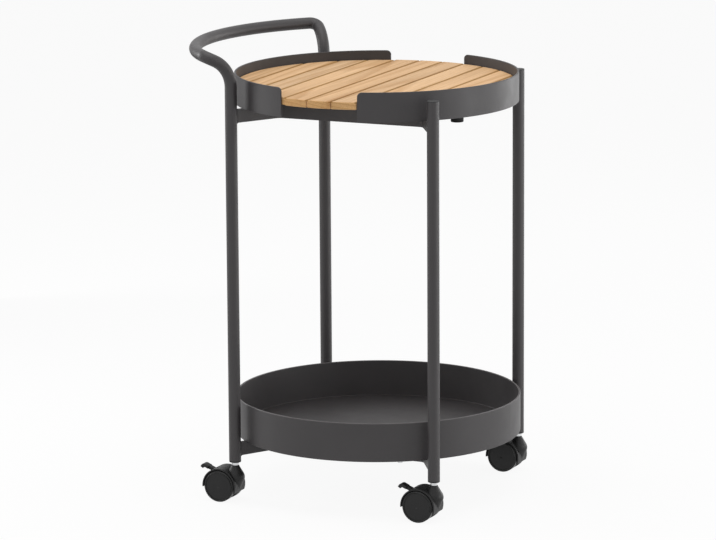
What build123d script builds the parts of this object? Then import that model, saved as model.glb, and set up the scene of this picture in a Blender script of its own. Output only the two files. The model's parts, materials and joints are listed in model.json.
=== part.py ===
from build123d import *
import math
import os

# Rolling side table: a tube frame on four braked swivel casters carries a fixed round tray below and a
# lift-off slatted tray on top. Millimetres, +Z up, floor at Z = 0, handle on the -X side, front at -Y.
# Pieces are drawn about the trays' common axis, and save() sets them on the part's own origin, which is
# the middle of its footprint on the floor.

# Top tray
TOP_RADIUS = 225.0
WALL_HEIGHT = 46.3
WALL_THICKNESS = 3.0
WALL_CORNER = 7.0
RIM_EASE = 0.8
HAND_GAP = 128.4
HAND_GAP_SHIFT = -3.0
SLAT_COUNT = 11
SLAT_GAP = 0.6
SLAT_THICKNESS = 12.0
SLAT_DROP = 15.3
SLAT_EASE = 1.8
SLAT_CORNER = 2.4
SLAT_END_CLEARANCE = 1.0
GAP_SLAT_INSET = 0.5
BATTEN_WIDTH = 16.0
FOOT_INSET = 16.5
FOOT_RADIUS = 10.0
FOOT_HEIGHT = 9.5
FOOT_EASE = 1.2
FOOT_PLUG_RADIUS = 3.0
FOOT_PLUG_LENGTH = 8.0

# Lower tray
LOWER_RADIUS = 228.0
LOWER_HEIGHT = 61.5
LOWER_WALL = 3.0
LOWER_FLOOR = 3.0
LOWER_INNER_CORNER = 1.0
LOWER_OUTER_CORNER = 1.5

# Heights of the rails' upper faces, where the trays sit
UPPER_SEAT = 627.7
LOWER_SEAT = 94.0

# Tube frame
TUBE_RADIUS = 9.5
TUBE_WALL = 1.5
LEG_ANGLE = 46.0
LEG_CLEARANCE = 8.4
PLAIN_LEG_TOP = 662.0
LEG_CAP_THICKNESS = 1.8
LEG_CAP_EASE = 1.0
LEG_CAP_PLUG = 10.0
HANDLE_HEIGHT = 713.4
ARM_ANGLE = 49.0
ARM_TILT = 65.0
ARM_STRAIGHT = 3.0
BEND_RADIUS = 47.0
ELBOW_RADIUS = 12.0
GRIP_ANGLE = 42.3
GRIP_STRAIGHT = 2.0

# Bent flat bars that carry the trays
RAIL_HEIGHT = 21.0
RAIL_THICKNESS = 8.0
RAIL_ARM_X = 46.8
RAIL_ARM_Y = 78.4
RAIL_BEND = 14.0

# Fasteners and locating pegs
FIXING_X = 80.0
PEG_RADIUS = 2.5
PEG_DEPTH = 12.0
PEG_PROUD = 8.0
PEG_TIP = 1.0
PEG_HOLE_CLEARANCE = 0.5
PEG_HOLE_EXTRA = 1.5
STUD_RADIUS = 2.5
STUD_CLEARANCE = 0.3
NUT_ACROSS_FLATS = 8.0
NUT_HEIGHT = 4.0
NUT_FLANGE_RADIUS = 5.6
NUT_FLANGE_HEIGHT = 1.2
SCREW_RADIUS = 2.0
SCREW_BITE = 8.0
SCREW_HEAD_RADIUS = 3.5
SCREW_HEAD_HEIGHT = 2.6
SCREW_HEAD_CLEARANCE = 0.5
SCREW_SEAT_DEPTH = 12.0

# Casters
CASTER_HEIGHT = 63.0
CASTER_TRAIL = 20.5
WHEEL_RADIUS = 25.0
WHEEL_WIDTH = 14.0
WHEEL_SHOULDER = 2.5
WHEEL_INNER_EASE = 1.2
WHEEL_HUB_RADIUS = 9.0
WHEEL_RIM = 5.0
WHEEL_RECESS = 7.0
WHEEL_CAP_THICKNESS = 2.0
WHEEL_CAP_RADIUS = 20.5
WHEEL_CAP_GROOVE = 0.9
AXLE_RADIUS = 4.0
AXLE_END_CLEARANCE = 0.4
WEB_HALF = 7.0
WHEEL_SIDE_CLEARANCE = 0.6
WHEEL_TOP_CLEARANCE = 1.6
HOOD_THICKNESS = 2.2
HOOD_HALF_WIDTH = 19.5
HOOD_FRONT_ANGLE = -20.0
HOOD_BACK_ANGLE = 184.0
HOOD_EASE = 1.0
HUB_RADIUS = 9.5
BOSS_TOP_RADIUS = 5.8
BOSS_SHOULDER_RADIUS = 16.5
BOSS_FOOT_RADIUS = 8.0
BOSS_SHOULDER_DROP = 18.5
BOSS_FOOT_DROP = 38.0
BOSS_TOP_CLEARANCE = 5.0
BOSS_SHOULDER_EASE = 12.0
BOSS_EASE = 1.2
STEM_RADIUS = 4.0
STEM_COLLAR_RADIUS = 5.6
STEM_COLLAR_GAP = 0.3
STEM_REACH_UP = 30.0
STEM_REACH_DOWN = 22.0
SOCKET_LENGTH = 36.0
SOCKET_FLANGE = 2.5
SOCKET_EASE = 1.2

# Brake levers
LEVER_PIVOT_RADIUS = 19.0
LEVER_PIVOT_ANGLE = 108.0
LEVER_PIN_RADIUS = 2.0
LEVER_PIN_END_CLEARANCE = 0.4
LEVER_HALF_WIDTH = 4.0
LEVER_SLOT_CLEARANCE = 0.4
LEVER_THICKNESS = 5.0
LEVER_EYE_RADIUS = 4.5
LEVER_SLOT_ANGLE = 146.0
LEVER_KNEE_REACH = 6.2
LEVER_KNEE_ANGLE = 133.0
LEVER_PEDAL_LENGTH = 10.0
LEVER_PEDAL_RISE = 24.0
LEVER_PEDAL_HALF_WIDTH = 6.5
LEVER_LIP = 5.5
LEVER_LIP_ANGLE = 235.0
LEVER_BEND = 3.0
LEVER_EASE = 0.9

# Clearances shared by many pieces
RUNNING_CLEARANCE = 0.06
PRESS_CLEARANCE = 0.03

# Heights that follow from the sizes above
wall_top = UPPER_SEAT + WALL_HEIGHT
slat_top = wall_top - SLAT_DROP
slat_bottom = slat_top - SLAT_THICKNESS
batten_height = slat_bottom - UPPER_SEAT
leg_foot = CASTER_HEIGHT + SOCKET_FLANGE
axle_height = WHEEL_RADIUS
boss_top = CASTER_HEIGHT - BOSS_TOP_CLEARANCE

# Plan places that follow from the sizes above: the legs stand just outside the wider tray
leg_radius = max(TOP_RADIUS, LOWER_RADIUS) + LEG_CLEARANCE + TUBE_RADIUS
leg_x = leg_radius * math.cos(math.radians(LEG_ANGLE))
leg_y = leg_radius * math.sin(math.radians(LEG_ANGLE))
rail_corner_x = leg_x - RAIL_ARM_X
rail_y = leg_y - RAIL_ARM_Y

# Radii and widths that follow from the sizes above
wall_inner = TOP_RADIUS - WALL_THICKNESS
gap_low = HAND_GAP_SHIFT - HAND_GAP / 2
gap_high = HAND_GAP_SHIFT + HAND_GAP / 2
slat_radius = wall_inner - SLAT_END_CLEARANCE
slat_pitch = (2 * slat_radius + SLAT_GAP) / SLAT_COUNT
slat_width = slat_pitch - SLAT_GAP
batten_end_x = math.sqrt(wall_inner**2 - (rail_y + BATTEN_WIDTH / 2) ** 2)
foot_x = batten_end_x - FOOT_INSET
tube_bore = TUBE_RADIUS - TUBE_WALL
wheel_inner_face = WEB_HALF + WHEEL_SIDE_CLEARANCE
pocket_radius = WHEEL_RADIUS + WHEEL_TOP_CLEARANCE
hood_radius = pocket_radius + HOOD_THICKNESS
axle_half = wheel_inner_face + WHEEL_WIDTH - WHEEL_CAP_THICKNESS - AXLE_END_CLEARANCE

# Line of the handle, from the front handle leg outwards and over to the middle of the grip
tilt = math.radians(ARM_TILT)
grip_turn = math.radians(GRIP_ANGLE)
arm_turn = math.radians(ARM_ANGLE)
outward = Vector(-math.cos(arm_turn), -math.sin(arm_turn), 0)
upward = Vector(0, 0, 1)
arm_direction = outward * math.sin(tilt) + upward * math.cos(tilt)
grip_direction = Vector(-math.sin(grip_turn), math.cos(grip_turn), 0)
elbow_turn = math.radians(arm_direction.get_angle(grip_direction))
bend_run = BEND_RADIUS * math.tan(tilt / 2)
elbow_run = ELBOW_RADIUS * math.tan(elbow_turn / 2)
arm_length = bend_run + ARM_STRAIGHT + elbow_run
bend_corner = Vector(-leg_x, -leg_y, HANDLE_HEIGHT - arm_length * math.cos(tilt))
elbow_corner = bend_corner + arm_direction * arm_length
grip_start = elbow_corner + grip_direction * (elbow_run + GRIP_STRAIGHT)
handle_reach = abs(grip_start.Y) * math.tan(grip_turn / 2) - grip_start.X + TUBE_RADIUS

# The trays' axis stands this far from the middle of the footprint, because the handle overhangs one side
axis_x = (handle_reach - max(TOP_RADIUS, LOWER_RADIUS)) / 2

# Legs by name, with the sides of the table that they stand on
CORNERS = {"handle_front": (-1, -1), "handle_rear": (-1, 1), "plain_front": (1, -1), "plain_rear": (1, 1)}
SIDES = {"front": -1, "rear": 1}
FIXINGS = [(x, y) for x in (-FIXING_X, FIXING_X) for y in (-rail_y, rail_y)]


def leg_point(corner):
    """Plan position of a leg's axis."""
    return (CORNERS[corner][0] * leg_x, CORNERS[corner][1] * leg_y)


def save(piece, name, at=(0, 0)):
    """Sets a finished piece in its place on the part's own origin, labels it and writes it."""
    placed = piece.moved(Location((axis_x + at[0], at[1], 0)))
    placed.label = name
    export_step(placed, f"parts/{name}.step")


def front_to_rear(point):
    """The same point on the other side of the table."""
    return Vector(point.X, -point.Y, point.Z)


# One bent tube makes both handle legs and the grip between them
def make_handle_frame():
    front_points = [Vector(-leg_x, -leg_y, leg_foot), bend_corner, elbow_corner, grip_start]
    rear_points = [front_to_rear(point) for point in reversed(front_points)]
    with BuildPart() as handle_frame:
        with BuildLine() as path:
            FilletPolyline(*front_points, radius=[BEND_RADIUS, ELBOW_RADIUS])
            TangentArc(grip_start, front_to_rear(grip_start), tangent=grip_direction)
            FilletPolyline(*rear_points, radius=[ELBOW_RADIUS, BEND_RADIUS])
        with BuildSketch(Plane(front_points[0], z_dir=(0, 0, 1))):
            Circle(TUBE_RADIUS)
            Circle(tube_bore, mode=Mode.SUBTRACT)
        sweep(path=path.wire())
    return handle_frame.part


# The two legs without a handle end below the top tray's rim
def make_plain_leg():
    with BuildPart() as leg:
        with BuildSketch(Plane.XY.offset(leg_foot)):
            Circle(TUBE_RADIUS)
            Circle(tube_bore, mode=Mode.SUBTRACT)
        extrude(amount=PLAIN_LEG_TOP - LEG_CAP_THICKNESS - leg_foot)
    return leg.part


def make_leg_cap():
    cap_seat = PLAIN_LEG_TOP - LEG_CAP_THICKNESS
    with BuildPart() as cap:
        with BuildSketch(Plane.XY.offset(cap_seat)):
            Circle(TUBE_RADIUS)
        extrude(amount=LEG_CAP_THICKNESS)
        fillet(cap.edges().group_by(Axis.Z)[-1], radius=LEG_CAP_EASE)
        with BuildSketch(Plane.XY.offset(cap_seat)):
            Circle(tube_bore - PRESS_CLEARANCE)
        extrude(amount=-LEG_CAP_PLUG)
    return cap.part


# A bent flat bar: two brackets welded to the legs, and the straight rail that a tray sits on
def make_support(side, seat, hole_radius, hole_depth):
    corner = (rail_corner_x, side * rail_y)
    leg = (leg_x, side * leg_y)
    with BuildPart() as support:
        with BuildSketch(Plane.XY.offset(seat - RAIL_HEIGHT)):
            with BuildLine() as centre_line:
                FilletPolyline((-leg[0], leg[1]), (-corner[0], corner[1]), corner, leg, radius=RAIL_BEND)
            trace(centre_line.edges(), line_width=RAIL_THICKNESS)
        extrude(amount=RAIL_HEIGHT)
        with BuildSketch(Plane.XY.offset(seat)):
            with Locations((-leg[0], leg[1]), leg):
                Circle(TUBE_RADIUS)
        extrude(amount=-RAIL_HEIGHT, mode=Mode.SUBTRACT)
        with Locations(Plane.XY.offset(seat)):
            with Locations((-FIXING_X, side * rail_y), (FIXING_X, side * rail_y)):
                Hole(radius=hole_radius, depth=hole_depth)
    return support.part


# Round pan with weld studs underneath, which pass through the lower rails
def make_lower_tray():
    rim = LOWER_SEAT + LOWER_HEIGHT
    floor_top = LOWER_SEAT + LOWER_FLOOR
    bore = LOWER_RADIUS - LOWER_WALL
    with BuildPart() as tray:
        with BuildSketch(Plane.XZ):
            with BuildLine():
                Polyline(
                    (0, LOWER_SEAT),
                    (LOWER_RADIUS, LOWER_SEAT),
                    (LOWER_RADIUS, rim),
                    (bore, rim),
                    (bore, floor_top),
                    (0, floor_top),
                    close=True,
                )
            make_face()
        revolve(axis=Axis.Z)
        circles = tray.edges().filter_by(GeomType.CIRCLE)
        fillet(circles.filter_by(lambda e: e.center().Z > rim - RIM_EASE), radius=RIM_EASE)
        circles = tray.edges().filter_by(GeomType.CIRCLE)
        inner = circles.filter_by(lambda e: abs(e.center().Z - floor_top) < RIM_EASE)
        fillet(inner, radius=LOWER_INNER_CORNER)
        circles = tray.edges().filter_by(GeomType.CIRCLE)
        outer = circles.filter_by(lambda e: e.center().Z < LOWER_SEAT + RIM_EASE)
        fillet(outer, radius=LOWER_OUTER_CORNER)
        with BuildSketch(Plane.XY.offset(LOWER_SEAT)):
            with Locations(*FIXINGS):
                Circle(STUD_RADIUS)
        extrude(amount=-(RAIL_HEIGHT + NUT_FLANGE_HEIGHT + NUT_HEIGHT))
    return tray.part


def make_tray_nuts():
    rail_underside = LOWER_SEAT - RAIL_HEIGHT
    with BuildPart() as nuts:
        with BuildSketch(Plane.XY.offset(rail_underside)):
            with Locations(*FIXINGS):
                Circle(NUT_FLANGE_RADIUS)
                Circle(STUD_RADIUS + PRESS_CLEARANCE, mode=Mode.SUBTRACT)
        extrude(amount=-NUT_FLANGE_HEIGHT)
        with BuildSketch(Plane.XY.offset(rail_underside - NUT_FLANGE_HEIGHT)):
            with Locations(*FIXINGS):
                RegularPolygon(radius=NUT_ACROSS_FLATS / 2, side_count=6, major_radius=False)
                Circle(STUD_RADIUS + PRESS_CLEARANCE, mode=Mode.SUBTRACT)
        extrude(amount=-NUT_HEIGHT)
    return nuts.part


# Pegs pressed into the upper rails keep the lift-off tray in its place
def make_locating_pegs():
    with BuildPart() as pegs:
        with BuildSketch(Plane.XY.offset(UPPER_SEAT - PEG_DEPTH)):
            with Locations(*FIXINGS):
                Circle(PEG_RADIUS)
        extrude(amount=PEG_DEPTH + PEG_PROUD)
        chamfer(pegs.edges().group_by(Axis.Z)[-1], length=PEG_TIP)
    return pegs.part


# One of the two curved wall plates, with the hand gaps between their ends
def make_tray_wall(side):
    with BuildPart() as wall:
        with BuildSketch(Plane.XY.offset(UPPER_SEAT)):
            Circle(TOP_RADIUS)
            Circle(wall_inner, mode=Mode.SUBTRACT)
            with Locations((gap_high if side > 0 else gap_low, 0)):
                half = (Align.MIN if side > 0 else Align.MAX, Align.CENTER)
                Rectangle(TOP_RADIUS, 2 * TOP_RADIUS, align=half, mode=Mode.INTERSECT)
        extrude(amount=WALL_HEIGHT)
        fillet(wall.edges().filter_by(Axis.Y).group_by(Axis.Z)[-1], radius=WALL_CORNER)
        fillet(wall.faces().sort_by(Axis.Z)[-1].edges().filter_by(GeomType.CIRCLE), radius=RIM_EASE)
    return wall.part


def slat_center(index):
    """Plan position of a slat's middle line, counted from the handle side."""
    return (index - (SLAT_COUNT - 1) / 2) * slat_pitch


def slat_screw_x(index):
    """A slat's screws stand in the middle of its width where it crosses the battens."""
    reach = math.sqrt(slat_radius**2 - (rail_y + SCREW_HEAD_RADIUS) ** 2)
    low = max(slat_center(index) - slat_width / 2, -reach)
    high = min(slat_center(index) + slat_width / 2, reach)
    return (low + high) / 2


def slat_end_radius(index):
    """Slats inside the hand gaps reach the wall's outer face, and the others stop inside it."""
    reach = slat_width / 2 + SLAT_END_CLEARANCE
    inside_gap = gap_low < slat_center(index) - reach and slat_center(index) + reach < gap_high
    return TOP_RADIUS - GAP_SLAT_INSET if inside_gap else slat_radius


def make_slat(index):
    with BuildPart() as slat:
        with BuildSketch(Plane.XY.offset(slat_bottom)):
            Circle(slat_end_radius(index))
            with Locations((slat_center(index), 0)):
                Rectangle(slat_width, 2 * TOP_RADIUS, mode=Mode.INTERSECT)
        extrude(amount=SLAT_THICKNESS)
        fillet(slat.edges().filter_by(Axis.Z), radius=SLAT_CORNER)
        fillet(slat.faces().filter_by(Axis.Z).edges(), radius=SLAT_EASE)
        with BuildSketch(Plane.XY.offset(slat_bottom)):
            with Locations((slat_screw_x(index), -rail_y), (slat_screw_x(index), rail_y)):
                Circle(SCREW_RADIUS)
        extrude(amount=SCREW_BITE, mode=Mode.SUBTRACT)
    return slat.part


# A flat bar under the slats, screwed to each of them from below and welded between the wall plates
def make_batten(side):
    y = side * rail_y
    screw_mouths = [Location((slat_screw_x(i), y, UPPER_SEAT), (180, 0, 0)) for i in range(SLAT_COUNT)]
    with BuildPart() as batten:
        with BuildSketch(Plane.XY.offset(UPPER_SEAT)):
            Circle(wall_inner)
            with Locations((0, y)):
                Rectangle(2 * TOP_RADIUS, BATTEN_WIDTH, mode=Mode.INTERSECT)
        extrude(amount=batten_height)
        with Locations(*screw_mouths):
            CounterBoreHole(
                radius=SCREW_RADIUS + PRESS_CLEARANCE,
                counter_bore_radius=SCREW_HEAD_RADIUS + SCREW_HEAD_CLEARANCE,
                counter_bore_depth=SCREW_SEAT_DEPTH,
            )
        with BuildSketch(Plane.XY.offset(UPPER_SEAT)):
            with Locations((-FIXING_X, y), (FIXING_X, y)):
                Circle(PEG_RADIUS + PEG_HOLE_CLEARANCE)
        extrude(amount=PEG_PROUD + PEG_HOLE_EXTRA, mode=Mode.SUBTRACT)
        with BuildSketch(Plane.XY.offset(UPPER_SEAT)):
            with Locations((-foot_x, y), (foot_x, y)):
                Circle(FOOT_PLUG_RADIUS)
        extrude(amount=FOOT_PLUG_LENGTH, mode=Mode.SUBTRACT)
    return batten.part


def make_slat_screws():
    seat = UPPER_SEAT + SCREW_SEAT_DEPTH
    points = [(slat_screw_x(i), side * rail_y) for i in range(SLAT_COUNT) for side in SIDES.values()]
    with BuildPart() as screws:
        with BuildSketch(Plane.XY.offset(seat)):
            with Locations(*points):
                Circle(SCREW_HEAD_RADIUS)
        extrude(amount=-SCREW_HEAD_HEIGHT)
        with BuildSketch(Plane.XY.offset(seat)):
            with Locations(*points):
                Circle(SCREW_RADIUS)
        extrude(amount=slat_bottom + SCREW_BITE - seat)
    return screws.part


# Rubber feet under the batten ends, for standing the lifted tray on another surface
def make_tray_feet():
    points = [(x, y) for x in (-foot_x, foot_x) for y in (-rail_y, rail_y)]
    with BuildPart() as feet:
        with BuildSketch(Plane.XY.offset(UPPER_SEAT)):
            with Locations(*points):
                Circle(FOOT_RADIUS)
        extrude(amount=-FOOT_HEIGHT)
        fillet(feet.edges().group_by(Axis.Z)[0], radius=FOOT_EASE)
        with BuildSketch(Plane.XY.offset(UPPER_SEAT)):
            with Locations(*points):
                Circle(FOOT_PLUG_RADIUS)
        extrude(amount=FOOT_PLUG_LENGTH)
    return feet.part


# Plug in a leg's lower end that holds a caster's stem
def make_stem_socket():
    with BuildPart() as socket:
        with BuildSketch(Plane.XY.offset(CASTER_HEIGHT)):
            Circle(TUBE_RADIUS)
        extrude(amount=SOCKET_FLANGE)
        fillet(socket.edges().group_by(Axis.Z)[0], radius=SOCKET_EASE)
        with BuildSketch(Plane.XY.offset(leg_foot)):
            Circle(tube_bore - PRESS_CLEARANCE)
        extrude(amount=SOCKET_LENGTH)
        with BuildSketch(Plane.XY.offset(CASTER_HEIGHT)):
            Circle(STEM_RADIUS + PRESS_CLEARANCE)
        extrude(amount=STEM_REACH_UP, mode=Mode.SUBTRACT)
    return socket.part


# Steel stem: fixed in the leg's socket, with the caster turning on its lower end
def make_stem():
    collar_foot = boss_top + STEM_COLLAR_GAP
    with BuildPart() as stem:
        with BuildSketch(Plane.XY.offset(boss_top - STEM_REACH_DOWN)):
            Circle(STEM_RADIUS)
        extrude(amount=CASTER_HEIGHT + STEM_REACH_UP - boss_top + STEM_REACH_DOWN)
        with BuildSketch(Plane.XY.offset(collar_foot)):
            Circle(STEM_COLLAR_RADIUS)
        extrude(amount=CASTER_HEIGHT - collar_foot)
    return stem.part


def about_axle(radius, angle):
    """Point of the caster's middle plane, by its distance from the axle and its angle above the +X side."""
    turn = math.radians(angle)
    return (radius * math.cos(turn) - CASTER_TRAIL, radius * math.sin(turn) + axle_height)


axle_point = (-CASTER_TRAIL, axle_height)
lever_pivot = about_axle(LEVER_PIVOT_RADIUS, LEVER_PIVOT_ANGLE)


# Moulded caster body: a web between the wheels, a hood round their treads and a boss for the stem, which
# widens to a shoulder ahead of the hood
def make_caster_housing():
    with BuildPart() as housing:
        with BuildSketch(Plane.XZ):
            with BuildLine():
                start = about_axle(hood_radius, HOOD_FRONT_ANGLE)
                end = about_axle(hood_radius, HOOD_BACK_ANGLE)
                middle = about_axle(hood_radius, (HOOD_FRONT_ANGLE + HOOD_BACK_ANGLE) / 2)
                ThreePointArc(start, middle, end)
                Polyline(end, axle_point, start)
            make_face()
        extrude(amount=HOOD_HALF_WIDTH, both=True)
        hood_rims = housing.edges().filter_by(GeomType.CIRCLE)
        fillet(hood_rims, radius=HOOD_EASE)
        with BuildSketch(Plane.XZ) as boss:
            with BuildLine():
                Polyline(
                    (0, boss_top - BOSS_FOOT_DROP),
                    (BOSS_FOOT_RADIUS, boss_top - BOSS_FOOT_DROP),
                    (BOSS_SHOULDER_RADIUS, boss_top - BOSS_SHOULDER_DROP),
                    (BOSS_TOP_RADIUS, boss_top),
                    (0, boss_top),
                    close=True,
                )
            make_face()
            fillet(boss.vertices().sort_by(Axis.X)[-1], radius=BOSS_SHOULDER_EASE)
            top_rim = boss.vertices().filter_by(lambda v: v.Y > boss_top - BOSS_EASE and v.X > BOSS_EASE)
            fillet(top_rim, radius=BOSS_EASE)
        revolve(axis=Axis.Z)
        with BuildSketch(Plane.XZ):
            with Locations(axle_point):
                Circle(HUB_RADIUS)
        extrude(amount=WEB_HALF, both=True)
        for side in SIDES.values():
            with BuildSketch(Plane.XZ.offset(-side * WEB_HALF)):
                with Locations(axle_point):
                    Circle(pocket_radius)
            extrude(amount=-side * WHEEL_RADIUS, mode=Mode.SUBTRACT)
        with BuildSketch(Plane.XZ):
            with Locations(axle_point):
                Circle(AXLE_RADIUS + PRESS_CLEARANCE)
        extrude(amount=WEB_HALF, both=True, mode=Mode.SUBTRACT)
        with BuildSketch(Plane.XY.offset(boss_top)):
            Circle(STEM_RADIUS + RUNNING_CLEARANCE)
        extrude(amount=-(STEM_REACH_DOWN + STEM_COLLAR_GAP), mode=Mode.SUBTRACT)
        with BuildSketch(Plane.XZ):
            with Locations(lever_pivot):
                Circle(LEVER_EYE_RADIUS + LEVER_SLOT_CLEARANCE)
            with BuildLine():
                slot_far = about_axle(2 * hood_radius, LEVER_SLOT_ANGLE)
                slot_low = about_axle(HUB_RADIUS, LEVER_SLOT_ANGLE)
                slot_top = about_axle(2 * hood_radius, LEVER_PIVOT_ANGLE)
                Polyline(lever_pivot, slot_low, slot_far, slot_top, close=True)
            make_face()
        extrude(amount=LEVER_HALF_WIDTH + LEVER_SLOT_CLEARANCE, both=True, mode=Mode.SUBTRACT)
        with BuildSketch(Plane.XZ):
            with Locations(lever_pivot):
                Circle(LEVER_PIN_RADIUS + RUNNING_CLEARANCE)
        extrude(amount=WEB_HALF, both=True, mode=Mode.SUBTRACT)
    return housing.part


def make_axle():
    with BuildPart() as axle:
        with BuildSketch(Plane.XZ):
            with Locations(axle_point):
                Circle(AXLE_RADIUS)
        extrude(amount=axle_half, both=True)
    return axle.part


# Wheel with a recessed inner side, a rounded tread and a domed cap behind a ring groove
def make_wheel(side):
    bore = AXLE_RADIUS + RUNNING_CLEARANCE
    bore_depth = WHEEL_WIDTH - WHEEL_CAP_THICKNESS
    rim_inner = WHEEL_RADIUS - WHEEL_RIM
    groove_outer = WHEEL_CAP_RADIUS + WHEEL_CAP_GROOVE
    section_plane = Plane((-CASTER_TRAIL, wheel_inner_face, axle_height), x_dir=(1, 0, 0), z_dir=(0, 0, 1))
    with BuildPart() as wheel:
        with BuildSketch(section_plane):
            with BuildLine():
                inner_side = Polyline(
                    (0, bore_depth),
                    (bore, bore_depth),
                    (bore, 0),
                    (WHEEL_HUB_RADIUS, 0),
                    (WHEEL_HUB_RADIUS, WHEEL_RECESS),
                    (rim_inner, WHEEL_RECESS),
                    (rim_inner, 0),
                    (WHEEL_RADIUS - WHEEL_INNER_EASE, 0),
                    (WHEEL_RADIUS, WHEEL_INNER_EASE),
                    (WHEEL_RADIUS, WHEEL_WIDTH - WHEEL_SHOULDER),
                )
                RadiusArc(inner_side @ 1, (WHEEL_RADIUS - WHEEL_SHOULDER, WHEEL_WIDTH), WHEEL_SHOULDER)
                outer_side = Polyline(
                    (WHEEL_RADIUS - WHEEL_SHOULDER, WHEEL_WIDTH),
                    (groove_outer, WHEEL_WIDTH),
                    (groove_outer, WHEEL_WIDTH - WHEEL_CAP_GROOVE),
                    (WHEEL_CAP_RADIUS, WHEEL_WIDTH - WHEEL_CAP_GROOVE),
                )
                TangentArc((0, WHEEL_WIDTH), outer_side @ 1, tangent=(1, 0))
                Line((0, WHEEL_WIDTH), inner_side @ 0)
            make_face()
        revolve(axis=Axis((-CASTER_TRAIL, 0, axle_height), (0, 1, 0)))
        if side < 0:
            mirror(about=Plane.XZ, mode=Mode.REPLACE)
    return wheel.part


# Foot pedal of the brake, on a pin that turns in the web's two cheeks
def make_brake_lever():
    knee = about_axle(hood_radius + LEVER_KNEE_REACH, LEVER_KNEE_ANGLE)
    rise = math.radians(180 - LEVER_PEDAL_RISE)
    tip = (knee[0] + LEVER_PEDAL_LENGTH * math.cos(rise), knee[1] + LEVER_PEDAL_LENGTH * math.sin(rise))
    drop = math.radians(LEVER_LIP_ANGLE)
    lip = (tip[0] + LEVER_LIP * math.cos(drop), tip[1] + LEVER_LIP * math.sin(drop))
    pin_half = WEB_HALF - LEVER_PIN_END_CLEARANCE
    with BuildPart() as lever:
        with BuildSketch(Plane.XZ):
            with BuildLine() as pedal_line:
                FilletPolyline(knee, tip, lip, radius=LEVER_BEND)
            trace(pedal_line.edges(), line_width=LEVER_THICKNESS)
        extrude(amount=LEVER_PEDAL_HALF_WIDTH, both=True)
        fillet(lever.faces().filter_by(Axis.Y).edges(), radius=LEVER_EASE)
        with BuildSketch(Plane.XZ):
            with Locations(lever_pivot):
                Circle(LEVER_EYE_RADIUS)
            with BuildLine() as arm_line:
                Line(lever_pivot, knee)
            trace(arm_line.edges(), line_width=LEVER_THICKNESS)
        extrude(amount=LEVER_HALF_WIDTH, both=True)
        with BuildSketch(Plane.XZ):
            with Locations(lever_pivot):
                Circle(LEVER_PIN_RADIUS)
        extrude(amount=pin_half, both=True)
    return lever.part


os.makedirs("parts", exist_ok=True)

save(make_handle_frame(), "handle_frame")
for side_name, side in SIDES.items():
    save(make_plain_leg(), f"leg_{side_name}", leg_point(f"plain_{side_name}"))
    save(make_leg_cap(), f"leg_cap_{side_name}", leg_point(f"plain_{side_name}"))
    save(make_support(side, UPPER_SEAT, PEG_RADIUS, PEG_DEPTH), f"upper_rail_{side_name}")
    save(make_support(side, LOWER_SEAT, STUD_RADIUS + STUD_CLEARANCE, RAIL_HEIGHT), f"lower_rail_{side_name}")
    save(make_batten(side), f"tray_batten_{side_name}")
save(make_lower_tray(), "lower_tray")
save(make_tray_nuts(), "lower_tray_nuts")
save(make_locating_pegs(), "locating_pegs")
save(make_tray_wall(-1), "tray_wall_handle_side")
save(make_tray_wall(1), "tray_wall_far_side")
for slat_index in range(SLAT_COUNT):
    save(make_slat(slat_index), f"slat_{slat_index + 1:02d}")
save(make_slat_screws(), "slat_screws")
save(make_tray_feet(), "tray_feet")
for corner_name in CORNERS:
    save(make_stem_socket(), f"stem_socket_{corner_name}", leg_point(corner_name))
    save(make_stem(), f"caster_stem_{corner_name}", leg_point(corner_name))
    save(make_caster_housing(), f"caster_housing_{corner_name}", leg_point(corner_name))
    save(make_axle(), f"caster_axle_{corner_name}", leg_point(corner_name))
    save(make_brake_lever(), f"brake_lever_{corner_name}", leg_point(corner_name))
    for side_name, side in SIDES.items():
        save(make_wheel(side), f"wheel_{side_name}_{corner_name}", leg_point(corner_name))

print(f"trays' axis at x = {axis_x:.3f}, handle reach {handle_reach:.2f}, slat pitch {slat_pitch:.3f}")
print(f"legs at x = {leg_x:.3f}, y = {leg_y:.3f}, rails at y = {rail_y:.3f}, slats' top at {slat_top:.2f}")
print(f"brake pivot at x = {lever_pivot[0]:.3f}, z = {lever_pivot[1]:.3f} from the stem axis on the floor")
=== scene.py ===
"""Finishes, small details, light and camera of the rolling side table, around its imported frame. Metres."""
import json
import math
import random

import bmesh
import bpy
from mathutils import Matrix, Vector


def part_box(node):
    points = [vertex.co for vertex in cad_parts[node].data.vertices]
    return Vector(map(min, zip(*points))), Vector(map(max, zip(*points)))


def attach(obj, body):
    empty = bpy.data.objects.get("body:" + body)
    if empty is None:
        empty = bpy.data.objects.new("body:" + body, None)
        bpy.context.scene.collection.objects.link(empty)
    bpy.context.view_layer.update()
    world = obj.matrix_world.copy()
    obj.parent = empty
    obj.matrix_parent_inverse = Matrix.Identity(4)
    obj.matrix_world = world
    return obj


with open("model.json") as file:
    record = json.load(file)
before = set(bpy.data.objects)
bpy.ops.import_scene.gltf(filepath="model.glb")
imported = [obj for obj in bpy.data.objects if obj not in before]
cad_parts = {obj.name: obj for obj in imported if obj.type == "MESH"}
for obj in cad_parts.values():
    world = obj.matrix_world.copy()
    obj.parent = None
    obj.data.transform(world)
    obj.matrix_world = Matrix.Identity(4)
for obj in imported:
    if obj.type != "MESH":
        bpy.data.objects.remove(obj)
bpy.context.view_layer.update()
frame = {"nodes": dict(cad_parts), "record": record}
nodes = frame["nodes"]

SLATS = sorted(name for name in nodes if name.startswith("slat_") and name != "slat_screws")
RAILS = sorted(name for name in nodes if "_rail_" in name)

tray_low, tray_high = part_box("lower_tray")
AXIS_X = (tray_low[0] + tray_high[0]) / 2

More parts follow.
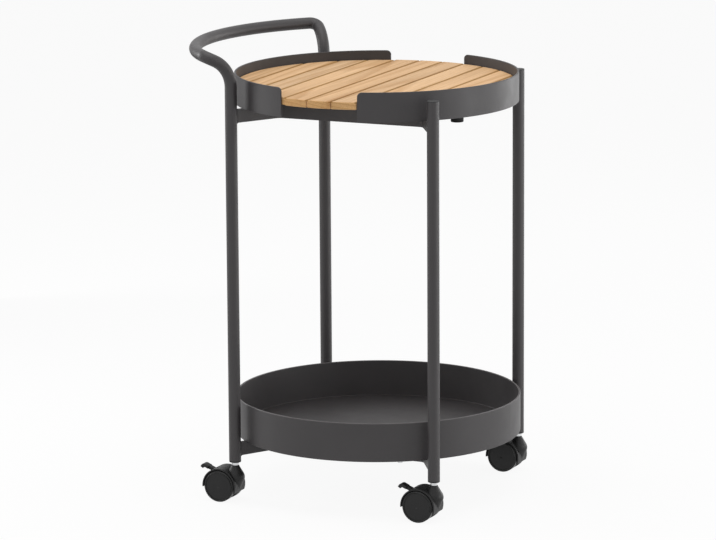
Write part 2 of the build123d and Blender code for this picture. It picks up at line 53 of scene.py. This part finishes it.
# Camera of the photograph: place from the trays' axis on the floor, aim in degrees, and lens and sensor in mm
CAMERA_PLACE = Vector((2.6202, -5.9973, 1.6617))
CAMERA_HEADING = 23.874
CAMERA_PITCH = 11.3055
CAMERA_ROLL = -0.347
CAMERA_LENS = 210.56
CAMERA_SENSOR = 36
CAMERA_REACH = 100

# Surroundings, at a light level where a colour renders about as it is written
AMBIENT = 0.5
FLOOR_GREY = 0.8
FLOOR_GLOW = 0.92
FLOOR_HALF = 14.0
WHITE = (1, 1, 1, 1)

# Soft lamps: name, place, width and watts. All face the middle of the table
LAMP_AIM = Vector((AXIS_X, 0, 0.4))
LAMPS = (
    ("overhead", (0.1, -0.3, 2.6), 2.2, 29),
    ("right_back", (1.4, 2.4, 0.4), 1.6, 24),
    ("right_side", (2.55, 0.4, 0.6), 1.2, 19.5),
    ("front_fill", (-1.2, -3.6, 1.5), 1.6, 12),
    ("left_side", (-2.5, 0.1, 1.1), 1.0, 28),
)

# Dark panel that the trays' left ends mirror: its middle from the trays' axis, heading in degrees, and size
PANEL_PLACE = Vector((-1.53, 0.71, 0))
PANEL_HEADING = 148.0
PANEL_HALF = 0.40
PANEL_HEIGHT = 1.2
PANEL_BLACK = (0.01, 0.01, 0.01, 1)

# Powder coat, as linear light, and how far its tone and its gloss vary
COAT = (0.0378, 0.0348, 0.0362)
COAT_DRIFT = (0.93, 1.07)
COAT_SPECK = (0.94, 1.06)
COAT_ROUGHNESS = (0.47, 0.53)
COAT_SPECULAR = 0.45

# Painted highlight along the rim of the lower tray: how far it reaches down, and how much lighter it is
RIM_HIGHLIGHT_DEPTH = 0.0016
RIM_HIGHLIGHT_GAIN = 2.3

# Wood, as linear light, and the shares of it that are left where it differs
WOOD = (0.711, 0.475, 0.272)
EARLY_GROWTH = 1.06
LATE_GROWTH = (0.86, 0.79, 0.69)
DULL_PATCH = (0.87, 0.83, 0.77)
FRESH_PATCH = (1.07, 1.07, 1.08)
HEART_STREAK = (0.82, 0.74, 0.66)
FIBRE_SHADE = (0.82, 1.09)
PORE_SHADE = 0.70
END_GRAIN = (0.94, 0.872, 0.70, 1)
# Share of the wood's colour left along the joints: painted shade
JOINT_SHADE_BROWN = (0.56, 0.475, 0.27, 1)
WOOD_ROUGHNESS = (0.68, 0.56)
WOOD_SPECULAR = 0.18

# Grain: scale along the slat of its bands and fibres, and where in a band late growth starts and is darkest
BAND_STRETCH = 0.04
FIBRE_STRETCH = 0.012
LATE_START = 0.62
LATE_PEAK = 0.9

# How the slats differ: place and turn in the log, in metres and degrees, tone, what the reddest one loses
# of each channel, and scale of the growth bands
LOG_PLACE = ((-0.05, 0.05), (-3, 3), (-0.06, -0.02))
LOG_TILT = 30
LOG_SKEW = 25
SLAT_TONE = (0.92, 1.06)
RED_LOSS = (0, 0.05, 0.12)
BAND_SCALE = (44, 66)

# Top and end faces of a slat, by one part of their direction: where their look begins and where it is full
UPWARD = (0.02, 0.2)
ENDWARD = (0.55, 0.85)

# Painted shade along the joints between the slats, from the slat's edge: where it ends and where it is full
JOINT_SHADE_WIDTH = 0.0040
JOINT_SHADE_CORE = 0.0014

# Rubber and plastics by slot: name, colour as linear light, range of roughness and strength of the grain
PLASTICS = {
    "foot_rubber": ("black_rubber", (0.014, 0.014, 0.014), (0.72, 0.85), 0.25),
    "cap_plastic": ("anthracite_plastic", (0.034, 0.034, 0.035), (0.48, 0.58), 0.15),
    "caster_plastic": ("black_plastic", (0.0095, 0.0095, 0.0097), (0.42, 0.52), 0.18),
    "wheel_plastic": ("black_wheel_plastic", (0.009, 0.009, 0.0092), (0.38, 0.48), 0.12),
}
PLASTIC_DRIFT = (0.9, 1.12)
PLASTIC_SPECULAR = 0.3

# Plated steel, as linear light, its range of roughness, and the stretch of its turning marks
ZINC_DULL = (0.56, 0.57, 0.58)
ZINC_BRIGHT = (0.68, 0.68, 0.68)
ZINC_ROUGHNESS = (0.24, 0.38)
MARK_STRETCH = (0.1, 0.1, 1)

# Weld beads between the rails and the legs
BEAD_RADIUS = 0.0014
BEAD_SIDES = 8
BEAD_STEP = 0.0007
BEAD_RIPPLE = 0.0028
BEAD_RIPPLE_DEPTH = 0.14
TUBE_TOUCH = BEAD_STEP / 4


# Small tools for shader nodes
def add_node(tree, kind, settings=None, **inputs):
    """Adds a shader node, with its properties from settings and its input values by name."""
    made = tree.nodes.new(kind)
    for key, value in (settings or {}).items():
        setattr(made, key, value)
    for key, value in inputs.items():
        made.inputs[key.replace("_", " ")].default_value = value
    return made


def new_material(name):
    """A material with its node tree and its shader."""
    material = bpy.data.materials.new(name)
    material.use_nodes = True
    tree = material.node_tree
    return material, tree, tree.nodes["Principled BSDF"]


def plug(tree, value, socket):
    """Links a node's output to a socket, or sets the socket to a plain value."""
    if isinstance(value, bpy.types.NodeSocket):
        tree.links.new(value, socket)
    else:
        socket.default_value = value


def calculate(tree, operation, *values):
    """Result of an operation on numbers or nodes' outputs."""
    made = add_node(tree, "ShaderNodeMath", {"operation": operation})
    for socket, value in zip(made.inputs, values):
        plug(tree, value, socket)
    return made.outputs[0]


def object_place(tree, scale=(1, 1, 1), shift=(0, 0, 0), turn=(0, 0, 0)):
    """Places on the piece in metres, stretched, turned and shifted."""
    place = add_node(tree, "ShaderNodeTexCoord")
    mapping = add_node(tree, "ShaderNodeMapping", Scale=scale, Location=shift, Rotation=turn)
    tree.links.new(place.outputs["Object"], mapping.inputs["Vector"])
    return mapping.outputs["Vector"]


def surface_part(tree, kind, axis):
    """One part of the place on the piece, in metres, or of its direction there: kind is Object or Normal."""
    source = add_node(tree, "ShaderNodeTexCoord")
    parts = add_node(tree, "ShaderNodeSeparateXYZ")
    tree.links.new(source.outputs[kind], parts.inputs[0])
    return parts.outputs[axis]


def noise(tree, place, scale, detail, roughness=0.5):
    """Value of a noise between 0 and 1."""
    made = add_node(tree, "ShaderNodeTexNoise", Scale=scale, Detail=detail, Roughness=roughness)
    tree.links.new(place, made.inputs["Vector"])
    return made.outputs["Fac"]


def ramp(tree, value, stops):
    """Colour, or grey level, along a value: stops are (place, colour)."""
    made = add_node(tree, "ShaderNodeValToRGB")
    elements = made.color_ramp.elements
    while len(elements) < len(stops):
        elements.new(0.5)
    for element, (place, colour) in zip(elements, stops):
        element.position = place
        level = (colour,) * 3 if isinstance(colour, (int, float)) else colour
        element.color = (*level, 1)
    tree.links.new(value, made.inputs["Fac"])
    return made.outputs["Color"]


def spread(tree, value, low, high, start=0.3, end=0.7):
    """Colour, or grey level, from low to high while a value goes from start to end."""
    return ramp(tree, value, [(start, low), (end, high)])


def climb(tree, value, low, high):
    """0 up to low, 1 from high on, and straight in between."""
    made = add_node(tree, "ShaderNodeMapRange", From_Min=low, From_Max=high)
    tree.links.new(value, made.inputs["Value"])
    return made.outputs["Result"]


def mix(tree, share, first, second, blend="MIX"):
    """Mixes two colours; share is a number or a node's output."""
    made = add_node(tree, "ShaderNodeMix", {"data_type": "RGBA", "blend_type": blend})
    # The node has sockets for numbers and vectors under the same names, so those for colours go by number
    factor, colour_a, colour_b = made.inputs[0], made.inputs[6], made.inputs[7]
    plug(tree, share, factor)
    plug(tree, first, colour_a)
    plug(tree, second, colour_b)
    return made.outputs[2]


def tint(tree, colour, shares, amount=1.0):
    """A colour times another one."""
    return mix(tree, amount, colour, shares, "MULTIPLY")


def bump(tree, height, strength, distance, before=None):
    """Normal bent by a height."""
    made = add_node(tree, "ShaderNodeBump", Strength=strength, Distance=distance)
    tree.links.new(height, made.inputs["Height"])
    if before is not None:
        tree.links.new(before, made.inputs["Normal"])
    return made.outputs["Normal"]


def shaded(colour, share):
    """The same colour, lighter or darker."""
    return tuple(channel * share for channel in colour)


def tinted(colour, shares):
    """A colour with its own share of each channel."""
    return tuple(channel * share for channel, share in zip(colour, shares))


# Materials
def coated_metal(name, rim_node=None):
    """Satin powder coat: orange peel, slow drift of tone and uneven gloss. The rim of rim_node gets a painted
    highlight.
    """
    material, tree, shader = new_material(name)
    place = object_place(tree)
    dark, light = (shaded(COAT, share) for share in COAT_DRIFT)
    tone = spread(tree, noise(tree, place, scale=9, detail=3), dark, light)
    speck = spread(tree, noise(tree, place, scale=1600, detail=1), *COAT_SPECK, start=0.35, end=0.65)
    colour = tint(tree, tone, speck)
    if rim_node:
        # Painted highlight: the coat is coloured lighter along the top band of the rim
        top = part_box(rim_node)[1][2]
        rim = climb(tree, surface_part(tree, "Object", "Z"), top - RIM_HIGHLIGHT_DEPTH, top)
        colour = mix(tree, rim, colour, (*shaded(COAT, RIM_HIGHLIGHT_GAIN), 1))
    tree.links.new(colour, shader.inputs["Base Color"])
    gloss = spread(tree, noise(tree, place, scale=35, detail=3), *COAT_ROUGHNESS)
    tree.links.new(gloss, shader.inputs["Roughness"])
    shader.inputs["Specular IOR Level"].default_value = COAT_SPECULAR
    peel = bump(tree, noise(tree, place, scale=750, detail=2), strength=0.10, distance=0.0002)
    grain = bump(tree, noise(tree, place, scale=2600, detail=1), strength=0.08, distance=0.0001, before=peel)
    tree.links.new(grain, shader.inputs["Normal"])
    return material


def painted_joint_shade(tree, slat):
    """1 on top of a slat along its two long edges, where shade is painted into the joints, and 0 further in.
    """
    low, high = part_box(slat)
    middle = (low[0] + high[0]) / 2
    half_width = (high[0] - low[0]) / 2
    offset = calculate(tree, "SUBTRACT", surface_part(tree, "Object", "X"), middle)
    aside = calculate(tree, "ABSOLUTE", offset)
    along_edge = climb(tree, aside, half_width - JOINT_SHADE_WIDTH, half_width - JOINT_SHADE_CORE)
    upward = climb(tree, surface_part(tree, "Normal", "Z"), *UPWARD)
    return tint(tree, along_edge, upward)


def growth_bands(tree, place, base, scale):
    """Bands of early and late growth in a slat's own colour."""
    rings = add_node(
        tree, "ShaderNodeTexWave", {"wave_type": "RINGS", "rings_direction": "Y", "wave_profile": "SAW"},
        Scale=scale, Distortion=2.6, Detail=2.0, Detail_Scale=0.5, Detail_Roughness=0.55,
    )
    tree.links.new(place, rings.inputs["Vector"])
    early, late = shaded(base, EARLY_GROWTH), tinted(base, LATE_GROWTH)
    stops = [(0.0, early), (LATE_START, base), (LATE_PEAK, late), (1.0, base)]
    return ramp(tree, rings.outputs["Fac"], stops)


def slat_wood(slat):
    """Oiled light hardwood, grain along Y: growth bands, streaks, fibres and pores. Every slat differs."""
    index = SLATS.index(slat) + 1
    material, tree, shader = new_material(f"slat_wood_{index:02d}")
    draw = random.Random(index)
    shift = tuple(draw.uniform(*span) for span in LOG_PLACE)
    tilt = math.radians(draw.uniform(-LOG_TILT, LOG_TILT))
    skew = math.radians(draw.uniform(-LOG_SKEW, LOG_SKEW))
    along = object_place(tree, (1, BAND_STRETCH, 1), shift, (tilt, 0, skew))
    fine = object_place(tree, (1, FIBRE_STRETCH, 1), shift)
    red = draw.uniform(0, 1)
    tone = shaded(WOOD, draw.uniform(*SLAT_TONE))
    base = tinted(tone, [1 - loss * red for loss in RED_LOSS])

    growth = growth_bands(tree, along, base, draw.uniform(*BAND_SCALE))
    fibre = noise(tree, fine, scale=520, detail=4, roughness=0.6)
    streaks = spread(tree, fibre, *FIBRE_SHADE, end=0.72)
    patches = noise(tree, along, scale=16, detail=2)
    drift = spread(tree, patches, DULL_PATCH, FRESH_PATCH, start=0.25, end=0.75)
    heart = spread(tree, noise(tree, along, scale=70, detail=2), 1.0, HEART_STREAK, start=0.60, end=0.74)
    pits = spread(tree, noise(tree, fine, scale=2300, detail=1), 1.0, PORE_SHADE, start=0.60, end=0.70)
    colour = tint(tree, tint(tree, tint(tree, growth, streaks), drift), heart)
    colour = tint(tree, colour, pits, amount=0.5)

    along_grain = calculate(tree, "ABSOLUTE", surface_part(tree, "Normal", "Y"))
    colour = mix(tree, climb(tree, along_grain, *ENDWARD), colour, tint(tree, colour, END_GRAIN))
    # Painted shade: darker, browner wood along the joints between the slats
    colour = mix(tree, painted_joint_shade(tree, slat), colour, tint(tree, colour, JOINT_SHADE_BROWN))
    tree.links.new(colour, shader.inputs["Base Color"])
    tree.links.new(spread(tree, fibre, *WOOD_ROUGHNESS), shader.inputs["Roughness"])
    shader.inputs["Specular IOR Level"].default_value = WOOD_SPECULAR
    ridges = bump(tree, fibre, strength=0.12, distance=0.0003)
    pitted = bump(tree, pits, strength=0.25, distance=0.0002, before=ridges)
    tree.links.new(pitted, shader.inputs["Normal"])
    return material


def moulded_plastic(name, base, roughness, grain):
    """Moulded plastic or rubber with a fine eroded grain and a little handling sheen."""
    material, tree, shader = new_material(name)
    place = object_place(tree)
    dark, light = (shaded(base, share) for share in PLASTIC_DRIFT)
    tone = spread(tree, noise(tree, place, scale=60, detail=3), dark, light)
    tree.links.new(tone, shader.inputs["Base Color"])
    gloss = spread(tree, noise(tree, place, scale=180, detail=3), *roughness)
    tree.links.new(gloss, shader.inputs["Roughness"])
    shader.inputs["Specular IOR Level"].default_value = PLASTIC_SPECULAR
    eroded = bump(tree, noise(tree, place, scale=1900, detail=2), strength=grain, distance=0.0002)
    tree.links.new(eroded, shader.inputs["Normal"])
    return material


def bright_steel():
    """Zinc plated steel with fine turning marks and faint clouding."""
    material, tree, shader = new_material("zinc_plated_steel")
    cloud = noise(tree, object_place(tree), scale=240, detail=3)
    tree.links.new(spread(tree, cloud, ZINC_DULL, ZINC_BRIGHT), shader.inputs["Base Color"])
    shader.inputs["Metallic"].default_value = 1.0
    marks = noise(tree, object_place(tree, MARK_STRETCH), scale=3500, detail=2)
    tree.links.new(spread(tree, marks, *ZINC_ROUGHNESS), shader.inputs["Roughness"])
    tree.links.new(bump(tree, marks, strength=0.15, distance=0.0001), shader.inputs["Normal"])
    return material


def dress_nodes():
    """Gives every CAD node the finish of its slot, and returns the finishes by slot."""
    finishes = {"coated_metal": coated_metal("anthracite_coat"), "bright_steel": bright_steel()}
    for slot, look in PLASTICS.items():
        finishes[slot] = moulded_plastic(*look)
    for row in frame["record"]["subparts"]:
        name, slot = row["node"], row["material_slot"]
        if slot == "slat_wood":
            finish = slat_wood(name)
        elif name == "lower_tray":
            # Lower tray: powder coat with a painted highlight along its rim
            finish = coated_metal("anthracite_coat_painted_rim_highlight", name)
        else:
            finish = finishes[slot]
        mesh = nodes[name].data
        mesh.materials.clear()
        mesh.materials.append(finish)
    return finishes


# Weld beads
def finish_mesh(name, shape, material, body):
    """Turns a bmesh into a smooth piece that rides on a body."""
    mesh = bpy.data.meshes.new(name)
    bmesh.ops.recalc_face_normals(shape, faces=shape.faces[:])
    shape.to_mesh(mesh)
    shape.free()
    mesh.shade_smooth()
    mesh.materials.append(material)
    piece = bpy.data.objects.new(name, mesh)
    bpy.context.scene.collection.objects.link(piece)
    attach(piece, body)


def leg_axes():
    """Plan place of every leg, and the tube's radius. The handle legs mirror the plain ones."""
    axes = {}
    for side in ("front", "rear"):
        low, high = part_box(f"leg_{side}")
        x, y = (low[0] + high[0]) / 2, (low[1] + high[1]) / 2
        axes[f"plain_{side}"] = Vector((x, y, 0))
        axes[f"handle_{side}"] = Vector((2 * AXIS_X - x, y, 0))
        radius = (high[0] - low[0]) / 2
    return axes, radius


def weld_line(rail, axis, radius):
    """Closed line round a rail's end, on the tube's surface."""
    ends = [v.co - axis for v in nodes[rail].data.vertices]
    ends = [p for p in ends if abs(math.hypot(p.x, p.y) - radius) < TUBE_TOUCH]
    middle = sum((Vector((p.x, p.y)) for p in ends), Vector((0, 0)))
    turn = math.atan2(middle.y, middle.x)
    reach = max(abs(math.remainder(math.atan2(p.y, p.x) - turn, math.tau)) for p in ends)
    low, high = min(p.z for p in ends), max(p.z for p in ends)
    corners = [(turn - reach, low), (turn + reach, low), (turn + reach, high), (turn - reach, high)]
    line = []
    for (a0, z0), (a1, z1) in zip(corners, corners[1:] + corners[:1]):
        steps = max(1, round(math.hypot((a1 - a0) * radius, z1 - z0) / BEAD_STEP))
        for i in range(steps):
            a, z = a0 + (a1 - a0) * i / steps, z0 + (z1 - z0) * i / steps
            line.append(axis + Vector((radius * math.cos(a), radius * math.sin(a), z)))
    return line


def weld_bead(name, line, axis, material):
    """A rippled bead along a closed line on a tube."""
    shape = bmesh.new()
    rings = []
    for i, point in enumerate(line):
        ahead = (line[(i + 1) % len(line)] - line[i - 1]).normalized()
        outward = Vector((point.x - axis.x, point.y - axis.y, 0)).normalized()
        across = ahead.cross(outward).normalized()
        swell = 1 + BEAD_RIPPLE_DEPTH * math.sin(math.tau * i * BEAD_STEP / BEAD_RIPPLE)
        ring = []
        for k in range(BEAD_SIDES):
            turn = math.tau * k / BEAD_SIDES
            spoke = outward * math.cos(turn) + across * math.sin(turn)
            ring.append(shape.verts.new(point + spoke * BEAD_RADIUS * swell))
        rings.append(ring)
    for first, second in zip(rings, rings[1:] + rings[:1]):
        for k in range(BEAD_SIDES):
            following = (k + 1) % BEAD_SIDES
            shape.faces.new((first[k], first[following], second[following], second[k]))
    finish_mesh(name, shape, material, "frame")


def make_weld_beads(material):
    """Beads where the bent rails meet the legs."""
    axes, radius = leg_axes()
    for rail in RAILS:
        side = rail.rsplit("_", 1)[1]
        for leg in ("handle", "plain"):
            axis = axes[f"{leg}_{side}"]
            weld_bead(f"weld_{rail}_{leg}", weld_line(rail, axis, radius), axis, material)


# Stage, light and camera
def seen_ray(tree):
    """1 for rays that show the background itself: to the camera, in reflections and through clear things."""
    path = add_node(tree, "ShaderNodeLightPath")
    total = path.outputs["Is Camera Ray"]
    for name in ("Is Glossy Ray", "Is Transmission Ray"):
        total = calculate(tree, "MAXIMUM", total, path.outputs[name])
    return total


def flat_board(name, corners, material):
    """One flat face with four corners."""
    mesh = bpy.data.meshes.new(name)
    mesh.from_pydata(corners, [], [(0, 1, 2, 3)])
    mesh.materials.append(material)
    board = bpy.data.objects.new(name, mesh)
    bpy.context.scene.collection.objects.link(board)
    return board


def pale_floor():
    """Matt grey that takes the shadow, nearly white for rays that show the background itself."""
    material, tree, shader = new_material("pale_floor")
    tree.nodes.remove(shader)
    matt = add_node(tree, "ShaderNodeBsdfDiffuse", Color=(FLOOR_GREY, FLOOR_GREY, FLOOR_GREY, 1))
    glow = add_node(tree, "ShaderNodeEmission", Color=WHITE, Strength=1.0)
    blend = add_node(tree, "ShaderNodeMixShader")
    tree.links.new(calculate(tree, "MULTIPLY", seen_ray(tree), FLOOR_GLOW), blend.inputs[0])
    tree.links.new(matt.outputs[0], blend.inputs[1])
    tree.links.new(glow.outputs[0], blend.inputs[2])
    tree.links.new(blend.outputs[0], tree.nodes["Material Output"].inputs["Surface"])
    return material


def make_floor():
    """Broad floor under the table."""
    low, high = -FLOOR_HALF, FLOOR_HALF
    corners = [(low, low, 0), (high, low, 0), (high, high, 0), (low, high, 0)]
    floor = flat_board("floor", corners, pale_floor())


def make_dark_panel():
    """Upright dark panel behind on the left, out of the camera's sight."""
    turn = math.radians(PANEL_HEADING)
    middle = PANEL_PLACE + Vector((AXIS_X, 0, 0))
    aside = Vector((-math.sin(turn), math.cos(turn), 0)) * PANEL_HALF
    upward = Vector((0, 0, PANEL_HEIGHT))
    corners = [middle - aside, middle + aside, middle + aside + upward, middle - aside + upward]
    material, _, shader = new_material("black_cloth")
    shader.inputs["Base Color"].default_value = PANEL_BLACK
    panel = flat_board("dark_panel", corners, material)
    panel.visible_camera = False


def make_world():
    """White surroundings, dimmer as a light than as a background."""
    world = bpy.data.worlds.new("studio")
    bpy.context.scene.world = world
    world.use_nodes = True
    tree = world.node_tree
    background = tree.nodes["Background"]
    background.inputs["Color"].default_value = WHITE
    strength = calculate(tree, "MULTIPLY_ADD", seen_ray(tree), 1 - AMBIENT, AMBIENT)
    tree.links.new(strength, background.inputs["Strength"])


def softbox(name, place, size, watts):
    """A square soft lamp that faces the middle of the table and isn't seen itself."""
    lamp = bpy.data.lights.new(name, "AREA")
    lamp.size = size
    lamp.energy = watts
    box = bpy.data.objects.new(name, lamp)
    bpy.context.scene.collection.objects.link(box)
    box.location = place
    box.rotation_euler = (LAMP_AIM - Vector(place)).to_track_quat("-Z", "Y").to_euler()
    box.visible_camera = False


def make_lights():
    """A broad light from above, a low one behind on the right, one on each side and a weak one in front."""
    for lamp in LAMPS:
        softbox(*lamp)


def make_camera():
    """Camera at the photograph's place and angle."""
    lens = bpy.data.cameras.new("camera")
    lens.sensor_width = CAMERA_SENSOR
    lens.lens = CAMERA_LENS
    lens.clip_end = CAMERA_REACH
    camera = bpy.data.objects.new("camera", lens)
    bpy.context.scene.collection.objects.link(camera)
    place = Matrix.Translation(CAMERA_PLACE + Vector((AXIS_X, 0, 0)))
    heading = Matrix.Rotation(math.radians(CAMERA_HEADING), 4, "Z")
    pitch = Matrix.Rotation(math.radians(90 - CAMERA_PITCH), 4, "X")
    roll = Matrix.Rotation(math.radians(CAMERA_ROLL), 4, "Z")
    camera.matrix_world = place @ heading @ pitch @ roll
    bpy.context.scene.camera = camera


bpy.context.scene.view_settings.view_transform = "Standard"
finishes = dress_nodes()
make_weld_beads(finishes["coated_metal"])
make_floor()
make_dark_panel()
make_world()
make_lights()
make_camera()
